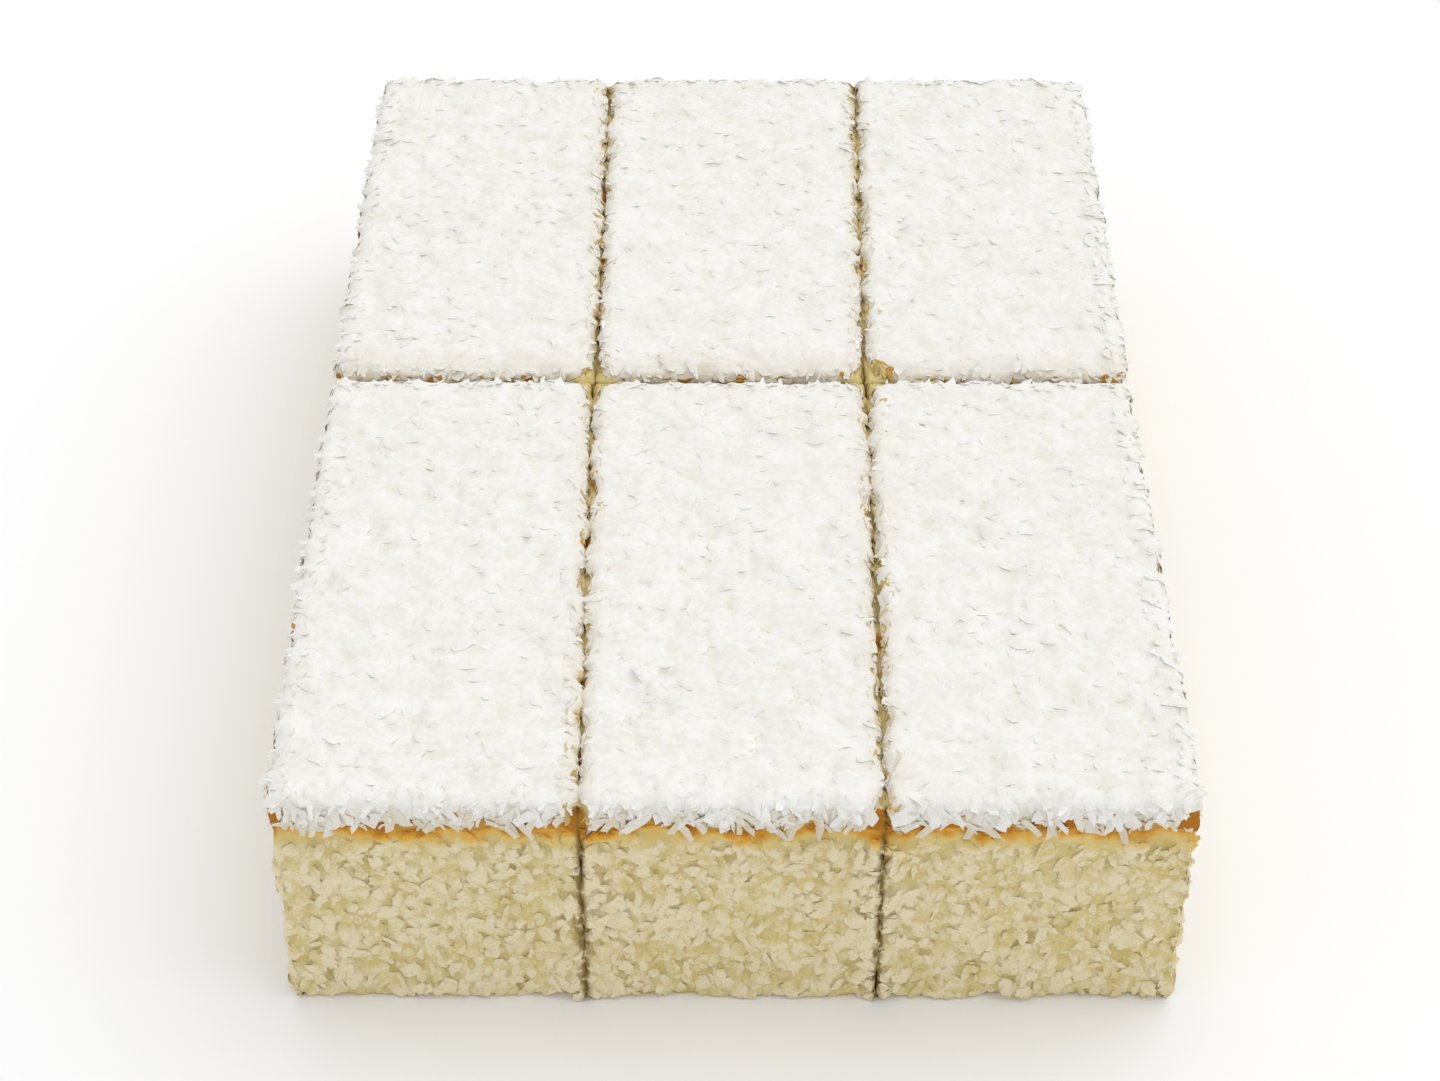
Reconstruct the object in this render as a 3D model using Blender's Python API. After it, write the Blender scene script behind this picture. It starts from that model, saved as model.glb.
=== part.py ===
"""Coconut tray cake, cut in six: three columns by two rows of oblong slices.

Each slice is a block of sponge under a layer of icing matted with shredded coconut. The sponge
has torn, craggy cut sides. The topping is rounded at its rim, lumpy on top, and carries the
largest shreds, which lie on it, stick out past its rim and hang down over the sponge.
Metres, +Z up, origin under the middle of the cake, front of the cake towards -Y.
"""

import math
import random

import bmesh
import bpy
from mathutils import Matrix, Vector, noise

MM = 0.001

# Driving dimensions of the whole cake
CAKE_WIDTH = 153 * MM  # across the three columns
CAKE_LENGTH = 219 * MM  # along the two rows
SPONGE_HEIGHT = 45.5 * MM
TOPPING_THICKNESS = 3.5 * MM  # icing and matted coconut, without the loose shreds
COLUMN_GAP = 1.5 * MM  # between the sponges of two columns
ROW_GAP = 2.8 * MM  # between the sponges of the two rows
ROW_CUT = 4 * MM  # the cut between the rows lies this far behind the middle of the cake
LAYER_GAP = 0.3 * MM  # the topping's underside clears the sponge by this
TOPPING_BASE = SPONGE_HEIGHT + LAYER_GAP

# Each row's ends along Y, and how far each lengthwise side or cut runs off square at its
# (near, far) end, from the left side to the right one
ROWS = {
    "front": {
        "ends": (-CAKE_LENGTH / 2, ROW_CUT - ROW_GAP / 2),
        "drift": [(0.5 * MM, 0), (0.5 * MM, -1.3 * MM), (-0.3 * MM, 0.3 * MM), (0.2 * MM, -0.7 * MM)],
    },
    "back": {
        "ends": (ROW_CUT + ROW_GAP / 2, CAKE_LENGTH / 2),
        "drift": [(0, 0.2 * MM), (-0.8 * MM, -1.5 * MM), (0, 1.5 * MM), (-0.6 * MM, -0.1 * MM)],
    },
}
COLUMNS = ("left", "middle", "right")
SIDES = ("near", "right", "far", "left")  # anticlockwise, as the corners run

# Sponge
SPONGE_CORNER = 1.6 * MM
SPONGE_LEVELS = 5
SPONGE_STEP = 6.4 * MM  # spacing of the crags round the sides
CRAG_DEPTH = 1.3 * MM
CRAG_SIZE = 5.5 * MM
FOOT_INSET = 0.5 * MM  # the bottom edge is worn back by this

# Topping
OVERHANG = 0.45 * MM  # past the sponge's outer sides
GAP_OVERHANG = 0.1 * MM  # past a side that faces another slice
RIM_RADIUS = 2.6 * MM
RIM_STATIONS = (0, 0.9 * MM, RIM_RADIUS)
TOP_STEP = 7 * MM
LUMP_HEIGHT = 0.5 * MM
LUMP_SIZE = 6 * MM

# Shreds of coconut fused to the topping
SHRED_LENGTH = (6.5 * MM, 9.5 * MM)
SHRED_WIDTH = (1.3 * MM, 1.9 * MM)
SHRED_THICKNESS = 0.9 * MM
SHRED_TIP = 0.45  # width at the tips, as a share of the middle
SHRED_CUTS = 2
SUNK = 0.15 * MM  # how far a shred's middle line lies below the surface at its root
ARCH = 1.1 * MM  # how far a lying shred bows up
FRINGE_STEP = 12 * MM  # spacing of the shreds round an outer edge
INNER_STEP = 25 * MM  # spacing of the shreds along an edge that faces another slice
TOP_SHRED_STEP = 25 * MM  # spacing of the shreds that lie on top
HANG = (1.5 * MM, 4.5 * MM)  # how far a hanging shred reaches below the topping
STICK_OUT = (1.2 * MM, 2.6 * MM)  # how far a proud shred reaches past the rim
CLEARANCE = 0.35 * MM  # from a hanging shred to the sponge's side
WELD = 0.02 * MM  # vertices nearer than this after fusing are one

SEED = 22

SPONGE_COLOUR = (0.72, 0.58, 0.27)
TOPPING_COLOUR = (0.90, 0.885, 0.84)


def clear_scene():
    for obj in list(bpy.data.objects):
        bpy.data.objects.remove(obj)


def make_material(name, colour, roughness):
    material = bpy.data.materials.new(name)
    material.use_nodes = True
    shader = material.node_tree.nodes["Principled BSDF"]
    shader.inputs["Base Color"].default_value = (*colour, 1)
    shader.inputs["Roughness"].default_value = roughness
    return material


def make_collection(name):
    collection = bpy.data.collections.new(name)
    bpy.context.scene.collection.children.link(collection)
    return collection


def add_object(name, bm, collection, material=None):
    mesh = bpy.data.meshes.new(name)
    bm.to_mesh(mesh)
    bm.free()
    obj = bpy.data.objects.new(name, mesh)
    collection.objects.link(obj)
    if material:
        mesh.materials.append(material)
    return obj


def faces_gap(row_name, column, side):
    """Whether a side of this slice faces another slice."""
    return {
        "near": row_name == "back",
        "far": row_name == "front",
        "left": column > 0,
        "right": column < len(COLUMNS) - 1,
    }[side]


def sponge_corners(row_name, column):
    """The sponge's four corners on the floor, anticlockwise from the near left one."""
    row = ROWS[row_name]
    sides = []
    for index in (column, column + 1):
        x = CAKE_WIDTH * (index / len(COLUMNS) - 0.5)
        sides.append([x + drift for drift in row["drift"][index]])
    left_gap = COLUMN_GAP / 2 if faces_gap(row_name, column, "left") else 0
    right_gap = COLUMN_GAP / 2 if faces_gap(row_name, column, "right") else 0
    near, far = row["ends"]
    return [
        Vector((sides[0][0] + left_gap, near)),
        Vector((sides[1][0] - right_gap, near)),
        Vector((sides[1][1] - right_gap, far)),
        Vector((sides[0][1] + left_gap, far)),
    ]


def rounded_outline(corners, radius, step, arc_steps=2):
    """Points round a four-cornered outline: an arc at each corner, even steps between them."""
    arcs = []
    for index, corner in enumerate(corners):
        to_last = (corners[index - 1] - corner).normalized()
        to_next = (corners[(index + 1) % len(corners)] - corner).normalized()
        centre = corner + (to_last + to_next) * radius
        arcs.append(
            [centre - to_next.slerp(to_last, k / arc_steps) * radius for k in range(arc_steps + 1)]
        )
    points = []
    for index, arc in enumerate(arcs):
        points += arc
        run = arcs[(index + 1) % len(arcs)][0] - arc[-1]
        count = round(run.length / step)
        points += [arc[-1] + run * (k / count) for k in range(1, count)]
    return points


def crag(place, seed):
    """How deep the torn crumb is at a place, from 0 to 1."""
    return 0.5 + 0.5 * noise.noise(place / CRAG_SIZE + Vector((seed, 7.3 * seed, 0)))


def lump(x, y, seed):
    """How far the matted coconut stands above or below its mean level at a place."""
    return LUMP_HEIGHT * noise.noise(Vector((x, y, 0)) / LUMP_SIZE + Vector((seed, 0, 3.1 * seed)))


def make_sponge(name, corners, seed, collection, material):
    bm = bmesh.new()
    outline = rounded_outline(corners, SPONGE_CORNER, SPONGE_STEP)
    bottom = bm.faces.new([bm.verts.new((p.x, p.y, 0)) for p in outline])
    grown = bmesh.ops.extrude_face_region(bm, geom=[bottom])["geom"]
    raised = [item for item in grown if isinstance(item, bmesh.types.BMVert)]
    bmesh.ops.translate(bm, vec=(0, 0, SPONGE_HEIGHT), verts=raised)
    upright = [e for e in bm.edges if abs(e.verts[0].co.z - e.verts[1].co.z) > SPONGE_HEIGHT / 2]
    bmesh.ops.subdivide_edges(bm, edges=upright, cuts=SPONGE_LEVELS - 1)
    bmesh.ops.recalc_face_normals(bm, faces=bm.faces)
    bm.normal_update()
    moves = []
    for vertex in bm.verts:
        inset = CRAG_DEPTH * crag(vertex.co, seed)
        if vertex.co.z < MM:
            inset += FOOT_INSET
        moves.append((vertex, vertex.normal.xy.normalized() * inset))
    for vertex, inward in moves:
        vertex.co.xy -= inward
    return add_object(name, bm, collection, material)


def stations(length):
    """Places along one side of the topping's grid: close together at the rim, even between."""
    count = round((length - 2 * RIM_RADIUS) / TOP_STEP)
    inner = [RIM_RADIUS + (length - 2 * RIM_RADIUS) * k / count for k in range(1, count)]
    return [*RIM_STATIONS, *inner, *(length - s for s in reversed(RIM_STATIONS))]


def topping_outline(row_name, column, corners):
    """The topping's four corners: the sponge's, moved out by each side's overhang."""
    outs = []
    for index, side in enumerate(SIDES):
        along = (corners[(index + 1) % len(SIDES)] - corners[index]).normalized()
        reach = GAP_OVERHANG if faces_gap(row_name, column, side) else OVERHANG
        outs.append(Vector((along.y, -along.x)) * reach)
    return [corner + outs[index] + outs[index - 1] for index, corner in enumerate(corners)]


def make_topping_core(name, outline, seed, collection, material):
    """A lumpy slab with a rounded rim, flat underneath."""
    near_left, near_right, far_right, far_left = outline
    width = (near_right - near_left).length
    length = (far_left - near_left).length
    across, along = stations(width), stations(length)
    columns, rows = len(across) - 1, len(along) - 1
    bm = bmesh.new()
    bmesh.ops.create_grid(bm, x_segments=columns, y_segments=rows, size=0.5)
    for vertex in bm.verts:
        u = across[round((vertex.co.x + 0.5) * columns)]
        v = along[round((vertex.co.y + 0.5) * rows)]
        # The rounded rim, which also rounds the corners in plan
        in_x = max(0, RIM_RADIUS - min(u, width - u)) * (-1 if u < width / 2 else 1)
        in_y = max(0, RIM_RADIUS - min(v, length - v)) * (-1 if v < length / 2 else 1)
        rim = math.hypot(in_x, in_y)
        pull = min(1, RIM_RADIUS / rim) if rim else 1
        u += in_x * (pull - 1)
        v += in_y * (pull - 1)
        drop = RIM_RADIUS - math.sqrt(RIM_RADIUS**2 - min(rim, RIM_RADIUS) ** 2)
        near = near_left.lerp(near_right, u / width)
        far = far_left.lerp(far_right, u / width)
        place = near.lerp(far, v / length)
        height = TOPPING_THICKNESS - drop + lump(place.x, place.y, seed) * (1 - drop / RIM_RADIUS)
        vertex.co = (place.x, place.y, TOPPING_BASE + height)
    grown = bmesh.ops.extrude_face_region(bm, geom=bm.faces[:])["geom"]
    for item in grown:
        if isinstance(item, bmesh.types.BMVert):
            item.co.z = TOPPING_BASE
    underside = [item for item in grown if isinstance(item, bmesh.types.BMFace)]
    bmesh.ops.dissolve_faces(bm, faces=underside, use_verts=True)
    bmesh.ops.recalc_face_normals(bm, faces=bm.faces)
    return add_object(name, bm, collection, material)


def bezier(path, t):
    return path[0] * (1 - t) ** 2 + path[1] * 2 * t * (1 - t) + path[2] * t * t


def bezier_slope(path, t):
    return (path[1] - path[0]) * (2 - 2 * t) + (path[2] - path[1]) * (2 * t)


def make_shred(name, path, broad, width, collection):
    """A flat shred swept along a bent path of three points, with its width along broad."""
    bm = bmesh.new()
    bmesh.ops.create_cube(bm, size=1)
    long_edges = [e for e in bm.edges if abs(e.verts[0].co.x - e.verts[1].co.x) > 0.5]
    bmesh.ops.subdivide_edges(bm, edges=long_edges, cuts=SHRED_CUTS)
    for vertex in bm.verts:
        t = vertex.co.x + 0.5
        slope = bezier_slope(path, t).normalized()
        side = (broad - slope * broad.dot(slope)).normalized()
        up = slope.cross(side)
        taper = 1 - (1 - SHRED_TIP) * (2 * t - 1) ** 2
        vertex.co = (
            bezier(path, t)
            + side * (vertex.co.y * width * taper)
            + up * (vertex.co.z * SHRED_THICKNESS * math.sqrt(taper))
        )
    bmesh.ops.recalc_face_normals(bm, faces=bm.faces)
    return add_object(name, bm, collection)


def edge_frames(outline, index, step, margin, rng):
    """Places along one side: (point on the topping's side, direction along, direction out)."""
    start, end = outline[index], outline[(index + 1) % len(outline)]
    along = (end - start).normalized()
    out = Vector((along.y, -along.x))
    run = (end - start).length - 2 * margin
    count = max(1, round(run / step))
    for k in range(count):
        place = start + along * (margin + run * (k + rng.uniform(0.2, 0.8)) / count)
        yield place, along.to_3d(), out.to_3d()


def hanging_path(place, along, out, rng, top):
    """From the top of the rim, over it, and down past the topping's underside."""
    reach = OVERHANG - CLEARANCE - SHRED_THICKNESS / 2  # the sponge's side, from the topping's
    lean = along * rng.uniform(-2.2, 2.2) * MM
    root = place.to_3d() - out * rng.uniform(2.2, 3.2) * MM
    bend = place.to_3d() + out * (1.1 * MM - min(0, reach)) + lean * 0.5
    tip = place.to_3d() + out * (0.25 * MM - min(0, reach)) + lean
    root.z = top - SUNK
    bend.z = top - 0.4 * MM
    tip.z = TOPPING_BASE - rng.uniform(*HANG)
    return [root, bend, tip]


def proud_path(place, along, out, rng, top):
    """From inside the rim outwards, past it, with the tip in the air."""
    lean = along * rng.uniform(-3, 3) * MM
    root = place.to_3d() - out * rng.uniform(4, 5.5) * MM - lean * 0.4
    bend = place.to_3d() - out * 0.8 * MM
    tip = place.to_3d() + out * rng.uniform(*STICK_OUT) + lean
    root.z = top - SUNK
    bend.z = top + 0.2 * MM
    tip.z = top - rng.uniform(0.3, 3) * MM
    return [root, bend, tip]


def lying_path(place, heading, rng, top):
    """Flat on the surface, bowed up a little between its sunken tips."""
    half = rng.uniform(*SHRED_LENGTH) / 2
    sideways = Vector((-heading.y, heading.x, 0)) * rng.uniform(-1.2, 1.2) * MM
    tips = [place.to_3d() - heading * half, place.to_3d() + heading * half]
    bend = place.to_3d() + sideways
    for tip in tips:
        tip.z = top - SUNK - 0.25 * MM
    bend.z = top - SUNK + ARCH
    return [tips[0], bend, tips[1]]


def make_shreds(row_name, column, outline, seed, collection):
    """All the shreds of one slice, each its own object in the collection."""
    rng = random.Random(seed)
    top = TOPPING_BASE + TOPPING_THICKNESS
    vertical = Vector((0, 0, 1))

    def width():
        return rng.uniform(*SHRED_WIDTH)

    for index, side in enumerate(SIDES):
        inner = faces_gap(row_name, column, side)
        step = INNER_STEP if inner else FRINGE_STEP
        for count, (place, along, out) in enumerate(edge_frames(outline, index, step, 4.5 * MM, rng)):
            if inner:
                # Along the edge, so that it stays clear of the next slice
                centre = place - out.xy * rng.uniform(1.8, 2.6) * MM
                path = lying_path(centre, along, rng, top - 0.5 * MM)
                make_shred("shred", path, out, width(), collection)
            elif count % 3 == 1:
                path = proud_path(place, along, out, rng, top)
                make_shred("shred", path, along, width(), collection)
            else:
                path = hanging_path(place, along, out, rng, top)
                make_shred("shred", path, along, width(), collection)

    low = Vector((max(outline[0].x, outline[3].x), outline[0].y))
    high = Vector((min(outline[1].x, outline[2].x), outline[2].y))
    margin = 7 * MM
    counts = [round((high[k] - low[k] - 2 * margin) / TOP_SHRED_STEP) + 1 for k in (0, 1)]
    for i in range(counts[0]):
        for j in range(counts[1]):
            spread = [
                low[k] + margin + (high[k] - low[k] - 2 * margin) * (n + rng.uniform(0.1, 0.9)) / counts[k]
                for k, n in ((0, i), (1, j))
            ]
            turn = rng.uniform(0, math.pi)
            heading = Vector((math.cos(turn), math.sin(turn), 0))
            surface = top + lump(spread[0], spread[1], seed)
            path = lying_path(Vector(spread), heading, rng, surface)
            make_shred("shred", path, vertical.cross(heading), width(), collection)


def fuse(obj, collection):
    """Joins the collection's objects to obj as one closed body, and removes them."""
    union = obj.modifiers.new("Fuse", "BOOLEAN")
    union.operation = "UNION"
    union.operand_type = "COLLECTION"
    union.collection = collection
    union.solver = "EXACT"
    bpy.context.view_layer.update()
    fused = bpy.data.meshes.new_from_object(obj.evaluated_get(bpy.context.evaluated_depsgraph_get()))
    obj.modifiers.clear()
    obj.data = fused
    for shred in list(collection.objects):
        bpy.data.objects.remove(shred)
    bpy.data.collections.remove(collection)
    keep_largest_shell(fused)


def keep_largest_shell(mesh):
    """Drops loose scraps, and the walls of a hollow that fusing has sealed."""
    bm = bmesh.new()
    bm.from_mesh(mesh)
    bmesh.ops.remove_doubles(bm, verts=bm.verts, dist=WELD)
    bmesh.ops.dissolve_degenerate(bm, edges=bm.edges, dist=WELD)
    left, shells = set(bm.faces), []
    while left:
        shell, edge = set(), [left.pop()]
        while edge:
            face = edge.pop()
            shell.add(face)
            near = {other for e in face.edges for other in e.link_faces if other in left}
            left -= near
            edge += near
        shells.append(shell)
    largest = max(shells, key=len)
    bmesh.ops.delete(bm, geom=[f for f in bm.faces if f not in largest], context="FACES")
    bm.to_mesh(mesh)
    bm.free()


def centre_on_origin(objects):
    """Moves the whole cake, shreds and all, so that its bounding box stands on the origin."""
    places = [vertex.co for obj in objects for vertex in obj.data.vertices]
    low = Vector([min(place[k] for place in places) for k in range(3)])
    high = Vector([max(place[k] for place in places) for k in range(3)])
    shift = Matrix.Translation((-(low.x + high.x) / 2, -(low.y + high.y) / 2, -low.z))
    for obj in objects:
        obj.data.transform(shift)


def build_cake():
    clear_scene()
    cake = make_collection("coconut_cake")
    sponge_material = make_material("sponge", SPONGE_COLOUR, 0.9)
    topping_material = make_material("coconut", TOPPING_COLOUR, 0.7)
    for row_index, row_name in enumerate(ROWS):
        for column, column_name in enumerate(COLUMNS):
            seed = SEED + 3 * row_index + column
            place = f"{row_name}_{column_name}"
            corners = sponge_corners(row_name, column)
            outline = topping_outline(row_name, column, corners)
            make_sponge(f"sponge_{place}", corners, seed, cake, sponge_material)
            topping = make_topping_core(f"topping_{place}", outline, seed, cake, topping_material)
            shreds = make_collection("shreds")
            make_shreds(row_name, column, outline, seed, shreds)
            fuse(topping, shreds)
    centre_on_origin(cake.objects)


build_cake()
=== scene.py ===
import math

import bmesh
import bpy
import numpy as np
from mathutils import Matrix, Vector, noise
from mathutils.bvhtree import BVHTree


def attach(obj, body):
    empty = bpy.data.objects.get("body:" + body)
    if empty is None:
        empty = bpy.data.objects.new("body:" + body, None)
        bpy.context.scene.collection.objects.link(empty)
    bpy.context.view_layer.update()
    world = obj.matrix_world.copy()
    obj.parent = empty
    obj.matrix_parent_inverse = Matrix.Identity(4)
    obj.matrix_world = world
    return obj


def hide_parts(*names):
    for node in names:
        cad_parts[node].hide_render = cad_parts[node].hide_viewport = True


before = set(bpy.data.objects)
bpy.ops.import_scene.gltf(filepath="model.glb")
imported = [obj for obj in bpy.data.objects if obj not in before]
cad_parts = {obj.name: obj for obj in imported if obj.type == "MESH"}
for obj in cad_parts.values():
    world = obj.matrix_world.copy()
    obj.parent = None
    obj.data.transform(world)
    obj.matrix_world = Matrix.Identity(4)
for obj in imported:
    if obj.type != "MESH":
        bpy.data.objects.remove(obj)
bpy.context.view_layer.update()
print("frame loaded:", len(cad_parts), "nodes")

mm = 0.001  # shapes are worked out in millimetres and stored in metres
sides = ("near", "right", "far", "left")  # of a slice, anticlockwise

cake = {
    "width": 153.0,  # across the columns
    "length": 219.0,  # along the rows
    "columnGap": 1.5,  # between the sponges
    "rowGap": 2.8,
    "rowCut": 4.0,  # the cut between the rows lies this far behind the middle
    "rows": ("front", "back"),
    "columns": ("left", "middle", "right"),
    # how far each lengthwise side or cut runs off square at its near and far end, left to right
    "drift": {
        "front": ((0.5, 0.0), (0.5, -1.3), (-0.3, 0.3), (0.2, -0.7)),
        "back": ((0.0, 0.2), (-0.8, -1.5), (0.0, 1.5), (-0.6, -0.1)),
    },
    "spongeTop": 47.4,
    "seed": 5,
}


def facing(row, column):
    # what each side of a slice looks out on
    return {
        "near": "rowGap" if row == "back" else "open",
        "right": "columnGap" if column < len(cake["columns"]) - 1 else "open",
        "far": "rowGap" if row == "front" else "open",
        "left": "columnGap" if column > 0 else "open",
    }


def cutCorners(row, column):
    # the sponge's corners in plan, anticlockwise from the near left one
    sight = facing(row, column)
    if row == "front":
        near, far = -cake["length"] / 2, cake["rowCut"] - cake["rowGap"] / 2
    else:
        near, far = cake["rowCut"] + cake["rowGap"] / 2, cake["length"] / 2
    cuts = []
    for index, side, inward in ((column, "left", 1), (column + 1, "right", -1)):
        x = cake["width"] * (index / len(cake["columns"]) - 0.5)
        x += inward * cake["columnGap"] / 2 * (sight[side] == "columnGap")
        cuts.append([x + drift for drift in cake["drift"][row][index]])
    left, right = cuts
    return np.array([(left[0], near), (right[0], near), (right[1], far), (left[1], far)])


def grownCorners(corners, reach):
    # the corners after each side has moved out by its own reach
    moved = []
    for index, side in enumerate(sides):
        along = unit(corners[(index + 1) % 4] - corners[index])
        moved.append(np.array([along[1], -along[0]]) * reach[side])
    return np.array([corner + moved[index] + moved[index - 1] for index, corner in enumerate(corners)])


def unit(vectors):
    return vectors / np.maximum(np.linalg.norm(vectors, axis=-1, keepdims=True), 1e-9)


def distanceTo(corner, places):
    # in plan
    return np.linalg.norm(places[..., :2] - corner, axis=-1)


def noiseAt(points, size, seed):
    # smooth noise from about -0.7 to 0.7 at each point, with lumps of that size
    scaled = points.reshape(-1, 3) / size + (seed * 1.7, seed * 3.1, seed * 5.3)
    return np.array([noise.noise(place) for place in scaled.tolist()]).reshape(points.shape[:-1])


def clodsAt(points, size, seed):
    # distance to the nearest of a scatter of points, 0 in the middle of a clod and 1 between them
    scaled = points.reshape(-1, 3) / size + (seed * 2.3, seed * 1.9, seed * 4.7)
    return np.array([noise.voronoi(place)[0][0] for place in scaled.tolist()]).reshape(points.shape[:-1])


def fading(distance, near, far):
    # 1 up to near and 0 from far on
    return np.clip((far - distance) / (far - near), 0, 1)


def blended(mean, muches, layers):
    # the mean with so much of each layer added
    for much, layer in zip(muches, layers):
        mean = mean + much * layer
    return mean


class Bed:
    # A block with rounded edges, which things are laid on. It is straight: x runs across and y
    # along from the near left corner. warp takes it to the slice as it was really cut.
    def __init__(self, corners, top, radius, drop):
        self.corners = corners
        spans = [np.linalg.norm(corners[k] - corners[k - 1]) for k in range(4)]
        self.width = (spans[1] + spans[3]) / 2
        self.length = (spans[2] + spans[0]) / 2
        self.top = top
        self.lowRadius = np.array([radius["left"], radius["near"], drop])
        self.highRadius = np.array([radius["right"], radius["far"], drop])
        self.innerLow = np.array([radius["left"], radius["near"], -np.inf])
        self.innerHigh = np.array([self.width - radius["right"], self.length - radius["far"], top - drop])
        self.nibbles = []  # a corner, the way in from it, how far it has gone and over what width
        self.bare = []  # a place, how far round it the topping is gone, and how bare it is at most
        self.parted = []  # a side's x, the way in from it, and how far it stands back at each y

    def project(self, points):
        # the nearest place on the surface and its normal
        inner = np.clip(points, self.innerLow, self.innerHigh)
        away = points - inner
        radius = np.where(away < 0, self.lowRadius, self.highRadius)
        away = unit(away / radius)
        return inner + away * radius, unit(away / radius)

    def corner(self):
        return np.array([self.corners[[0, 3], 0].mean(), self.corners[:2, 1].mean(), 0])

    def warp(self, points):
        points = points.copy()
        for corner, inwards, depth, width in self.nibbles:
            away = distanceTo(corner, points)[..., None]
            points[..., :2] += fading(away, 0, width) * depth * inwards
        for edge, inwards, places, depths in self.parted:
            back = np.interp(points[..., 1] + self.corners[:2, 1].mean(), places, depths)
            away = np.abs(points[..., 0] - edge)
            points[..., 0] += inwards * back * fading(away, 0, topping["parted"]["width"])
        across, along = points[..., 0:1] / self.width, points[..., 1:2] / self.length
        near = self.corners[0] * (1 - across) + self.corners[1] * across
        far = self.corners[3] * (1 - across) + self.corners[2] * across
        return np.concatenate([near * (1 - along) + far * along, points[..., 2:3]], axis=-1)

    def unwarped(self, points):
        # the straight place that the cut alone takes to each point
        near, far = self.corners[:2, 1].mean(), self.corners[2:, 1].mean()
        along = (points[..., 1] - near) / (far - near)
        x = self.corners[:, 0]
        left = x[0] * (1 - along) + x[3] * along
        right = x[1] * (1 - along) + x[2] * along
        across = (points[..., 0] - left) / (right - left)
        return np.stack([across * self.width, along * self.length, points[..., 2]], axis=-1)

    def holdBack(self, points, reach):
        # eases in whatever stands out past a side by more than its reach
        for axis, size, low, high in ((0, self.width, "left", "right"), (1, self.length, "near", "far")):
            out = np.maximum(points[..., axis] - size, 0)
            points[..., axis] -= out - reach[high] * (1 - np.exp(-out / reach[high]))
            out = np.maximum(-points[..., axis], 0)
            points[..., axis] += out - reach[low] * (1 - np.exp(-out / reach[low]))
        return points


def sideDistances(bed, places):
    # how far in each place lies from every side
    x, y = places[..., 0], places[..., 1]
    return np.stack([y, bed.width - x, bed.length - y, x])


def sightAt(bed, places, sight):
    # what the side that each place is nearest to faces
    return np.array([sight[side] for side in sides])[sideDistances(bed, places).argmin(axis=0)]


def sideways(bed, places, sight, wanted, inwards, ends):
    # 1 on the sides that face what is wanted, falling to 0 over some mm inwards and at their ends
    facingIt = np.array([sight[side] == wanted for side in sides])
    if not facingIt.any():
        return np.zeros(places.shape[:-1])
    distance = sideDistances(bed, places).reshape(4, -1)
    near = np.where(facingIt[:, None], distance, 1e3).min(axis=0)
    other = np.where(facingIt[:, None], 1e3, distance).min(axis=0)
    return (fading(near, 0, inwards) * np.clip(other / ends, 0, 1)).reshape(places.shape[:-1])


def cornersOf(bed, sight):
    # each corner's place, the way in from it, and how many of its two sides are cuts
    for x, inX, sideX in ((0, 1, "left"), (bed.width, -1, "right")):
        for y, inY, sideY in ((0, 1, "near"), (bed.length, -1, "far")):
            cuts = (sight[sideX] != "open") + (sight[sideY] != "open")
            yield np.array([x, y]), np.array([inX, inY]), cuts


def crossingsFrom(bed, sight, places):
    # how far the places are from each corner where two cuts cross
    return [distanceTo(corner, places) for corner, inwards, cuts in cornersOf(bed, sight) if cuts == 2]


def trace(bed, things, steps):
    # Walks over the bed from the middle of each thing to both of its ends. The walk gives places,
    # normals and headings, in order from one end to the other.
    middle, normal = bed.project(things["place"])
    heading = things["heading"] - normal * (things["heading"] * normal).sum(axis=-1, keepdims=True)
    heading = unit(heading)
    stride = (things["half"] / steps)[:, None]
    turn = things["bow"][:, None] * stride
    walks = []
    for sign in (-1, 1):
        place, up, ahead = middle, normal, heading * sign
        walk = []
        for _ in range(steps):
            ahead = unit(ahead + np.cross(up, ahead) * turn * sign)
            place, up = bed.project(place + ahead * stride)
            ahead = unit(ahead - up * (ahead * up).sum(axis=-1, keepdims=True))
            walk.append((place, up, ahead * sign))
        walks.append(walk)
    path = [*reversed(walks[0]), (middle, normal, heading), *walks[1]]
    return [np.stack(part, axis=1) for part in zip(*path)]


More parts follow.
